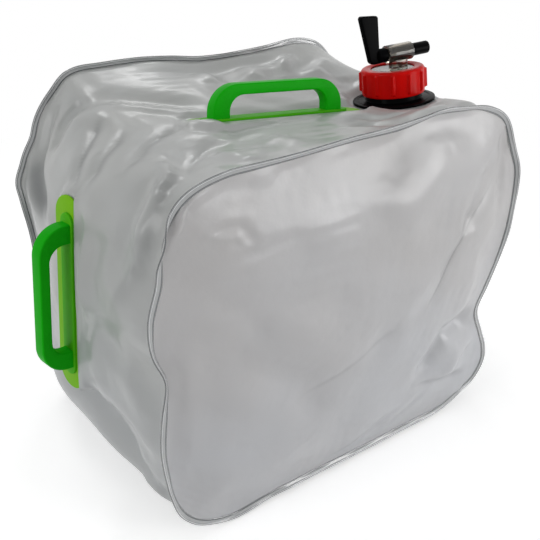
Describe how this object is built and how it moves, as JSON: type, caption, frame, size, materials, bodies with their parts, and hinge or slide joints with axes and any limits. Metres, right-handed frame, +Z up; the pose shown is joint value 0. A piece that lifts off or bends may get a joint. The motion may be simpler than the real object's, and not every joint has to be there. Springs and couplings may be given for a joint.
{
  "type": "collapsible water carrier",
  "caption": "Boxy welded film water bag that collapses flat, with a carry handle on top and one on the side, a ribbed screw cap on a neck, and a lever tap.",
  "frame": {"origin": "on the floor under the middle of the bag", "axes": "+X along the broad front panel towards the spout, -Y out of the front panel, -X out of the wall with the side handle, +Z up"},
  "size_m": [0.376, 0.2545, 0.3277],
  "materials": {
    "clear_film": "frosted translucent film",
    "welded_film": "gloss welded film",
    "handle_green": "satin moulded",
    "black_plastic": "satin moulded",
    "cap_red": "gloss moulded",
    "clear_plastic": "clear gloss moulded",
    "washer_white": "matte"
  },
  "bodies": {
    "bag": {"wall_wrap": "clear_film", "top_handle": "handle_green", "side_handle": "handle_green", "spout_neck": "black_plastic"},
    "front_end": {"front_panel": "clear_film", "front_weld_seam": "welded_film"},
    "back_end": {"back_panel": "clear_film", "back_weld_seam": "welded_film"},
    "washer": {"neck_washer": "washer_white"},
    "cap": {"cap_ring": "cap_red"},
    "tap": {"tap_body": "clear_plastic"},
    "tap_core": {"tap_core": "black_plastic"}
  },
  "joints": [
    {"name": "front_collapse", "type": "slide", "parent": "bag", "child": "front_end", "axis": [0, 1, 0], "range_m": [0, 0.056], "deforming": ["wall_wrap"]},
    {"name": "back_collapse", "type": "slide", "parent": "bag", "child": "back_end", "axis": [0, -1, 0], "range_m": [0, 0.056], "deforming": ["wall_wrap"]},
    {"name": "cap_lift", "type": "slide", "parent": "bag", "child": "washer", "axis": [-0.0449, 0.1408, 0.989], "range_m": [0, 0.0135]},
    {"name": "cap_turn", "type": "hinge", "parent": "washer", "child": "cap", "pos_m": [0.1137, -0.0155, 0.2604], "axis": [-0.0449, 0.1408, 0.989], "range_deg": [0, 1080]},
    {"name": "tap_swivel", "type": "hinge", "parent": "washer", "child": "tap", "pos_m": [0.1137, -0.0155, 0.2604], "axis": [-0.0449, 0.1408, 0.989], "continuous": true},
    {"name": "tap_lever", "type": "hinge", "parent": "tap", "child": "tap_core", "pos_m": [0.11203, -0.01028, 0.29709], "axis": [0.9868, -0.148, 0.0659], "range_deg": [0, 90]}
  ],
  "couplings": [
    {"joint": "back_collapse", "follows": "front_collapse", "ratio": 1},
    {"joint": "cap_lift", "follows": "cap_turn", "m_per_rad": 0.000716}
  ]
}
